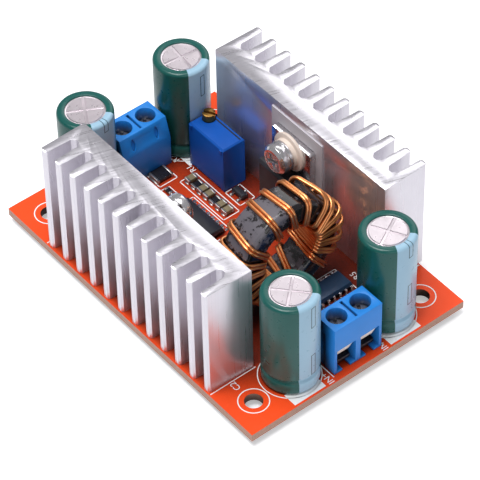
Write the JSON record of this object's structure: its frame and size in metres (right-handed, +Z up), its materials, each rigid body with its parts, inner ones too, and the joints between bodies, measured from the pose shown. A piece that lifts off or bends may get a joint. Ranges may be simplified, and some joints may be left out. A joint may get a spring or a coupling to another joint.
{
  "type": "step-up converter module",
  "caption": "Step-up voltage converter board with two finned heatsinks, a toroidal choke, electrolytic capacitors and screw terminals.",
  "frame": {"origin": "centre of the four mounting holes, on the underside of the board", "axes": "+X along the board from the output terminal to the input terminal, +Y across the board towards the heatsink beside the trimmer, +Z up out of the component side"},
  "size_m": [0.067, 0.047, 0.0263],
  "materials": {
    "board_laminate": "satin solder resist over glass laminate",
    "solder": "satin tin",
    "heatsink_aluminium": "satin, clear anodised extrusion with sawn ends",
    "insulating_sheet": "matte",
    "tinned_copper": "satin tin plate",
    "transistor_moulding": "matte black moulding compound",
    "bushing_plastic": "satin natural nylon",
    "zinc_steel": "bright zinc plate",
    "core_coating": "matte black ferrite, worn on the edges",
    "enamelled_copper": "gloss clear enamel over copper",
    "can_aluminium": "satin",
    "cap_sleeve": "semi-gloss shrink sleeve",
    "bung_rubber": "matte",
    "terminal_plastic": "satin",
    "trimmer_plastic": "satin",
    "trimmer_brass": "satin",
    "chip_moulding": "matte black moulding compound",
    "resistor_coat": "semi-gloss black glaze",
    "capacitor_ceramic": "matte fired ceramic"
  },
  "bodies": {
    "board_assembly": {"amplifier_body": "chip_moulding", "amplifier_leads": "tinned_copper", "board": "board_laminate", "capacitor_leads": "tinned_copper", "chip_capacitors": "capacitor_ceramic", "chip_end_caps": "tinned_copper", "chip_resistors": "resistor_coat", "choke_core": "core_coating", "choke_winding": "enamelled_copper", "controller_body": "chip_moulding", "controller_leads": "tinned_copper", "input_capacitor_left_bung": "bung_rubber", "input_capacitor_left_can": "can_aluminium", "input_capacitor_left_sleeve": "cap_sleeve", "input_capacitor_right_bung": "bung_rubber", "input_capacitor_right_can": "can_aluminium", "input_capacitor_right_sleeve": "cap_sleeve", "input_terminal_contacts": "tinned_copper", "input_terminal_housing": "terminal_plastic", "left_bushing": "bushing_plastic", "left_heatsink": "heatsink_aluminium", "left_insulating_pad": "insulating_sheet", "left_mounting_screw": "zinc_steel", "left_spring_washer": "zinc_steel", "left_transistor_body": "transistor_moulding", "left_transistor_metal": "tinned_copper", "output_capacitor_left_bung": "bung_rubber", "output_capacitor_left_can": "can_aluminium", "output_capacitor_left_sleeve": "cap_sleeve", "output_capacitor_right_bung": "bung_rubber", "output_capacitor_right_can": "can_aluminium", "output_capacitor_right_sleeve": "cap_sleeve", "output_terminal_contacts": "tinned_copper", "output_terminal_housing": "terminal_plastic", "reference_body": "chip_moulding", "reference_leads": "tinned_copper", "right_bushing": "bushing_plastic", "right_heatsink": "heatsink_aluminium", "right_insulating_pad": "insulating_sheet", "right_mounting_screw": "zinc_steel", "right_spring_washer": "zinc_steel", "right_transistor_body": "transistor_moulding", "right_transistor_metal": "tinned_copper", "sense_resistor": "resistor_coat", "solder_joints": "solder", "trimmer_case": "trimmer_plastic", "trimmer_pins": "tinned_copper"},
    "input_leaf_1": {"input_clamp_leaf_1": "tinned_copper"},
    "input_screw_1": {"input_clamp_screw_1": "zinc_steel"},
    "input_leaf_2": {"input_clamp_leaf_2": "tinned_copper"},
    "input_screw_2": {"input_clamp_screw_2": "zinc_steel"},
    "output_leaf_1": {"output_clamp_leaf_1": "tinned_copper"},
    "output_screw_1": {"output_clamp_screw_1": "zinc_steel"},
    "output_leaf_2": {"output_clamp_leaf_2": "tinned_copper"},
    "output_screw_2": {"output_clamp_screw_2": "zinc_steel"},
    "trimmer_adjuster": {"trimmer_screw": "trimmer_brass"}
  },
  "joints": [
    {"name": "input_leaf_slide_1", "type": "slide", "parent": "board_assembly", "child": "input_leaf_1", "axis": [0, 0, -1], "range_m": [0, 0.0015]},
    {"name": "input_screw_turn_1", "type": "hinge", "parent": "input_leaf_1", "child": "input_screw_1", "pos_m": [0.0296, 0.00324, 0.0096], "axis": [0, 0, -1], "range_deg": [0, 1080]},
    {"name": "input_leaf_slide_2", "type": "slide", "parent": "board_assembly", "child": "input_leaf_2", "axis": [0, 0, -1], "range_m": [0, 0.0015]},
    {"name": "input_screw_turn_2", "type": "hinge", "parent": "input_leaf_2", "child": "input_screw_2", "pos_m": [0.0296, -0.00184, 0.0096], "axis": [0, 0, -1], "range_deg": [0, 1080]},
    {"name": "output_leaf_slide_1", "type": "slide", "parent": "board_assembly", "child": "output_leaf_1", "axis": [0, 0, -1], "range_m": [0, 0.0015]},
    {"name": "output_screw_turn_1", "type": "hinge", "parent": "output_leaf_1", "child": "output_screw_1", "pos_m": [-0.0278, -0.00184, 0.0096], "axis": [0, 0, -1], "range_deg": [0, 1080]},
    {"name": "output_leaf_slide_2", "type": "slide", "parent": "board_assembly", "child": "output_leaf_2", "axis": [0, 0, -1], "range_m": [0, 0.0015]},
    {"name": "output_screw_turn_2", "type": "hinge", "parent": "output_leaf_2", "child": "output_screw_2", "pos_m": [-0.0278, 0.00324, 0.0096], "axis": [0, 0, -1], "range_deg": [0, 1080]},
    {"name": "trimmer_turn", "type": "hinge", "parent": "board_assembly", "child": "trimmer_adjuster", "pos_m": [-0.02045, 0.01155, 0.0116], "axis": [0, 0, 1], "continuous": true}
  ],
  "couplings": [
    {"joint": "input_screw_turn_1", "follows": "input_leaf_slide_1", "rad_per_m": 12566},
    {"joint": "input_screw_turn_2", "follows": "input_leaf_slide_2", "rad_per_m": 12566},
    {"joint": "output_screw_turn_1", "follows": "output_leaf_slide_1", "rad_per_m": 12566},
    {"joint": "output_screw_turn_2", "follows": "output_leaf_slide_2", "rad_per_m": 12566}
  ]
}
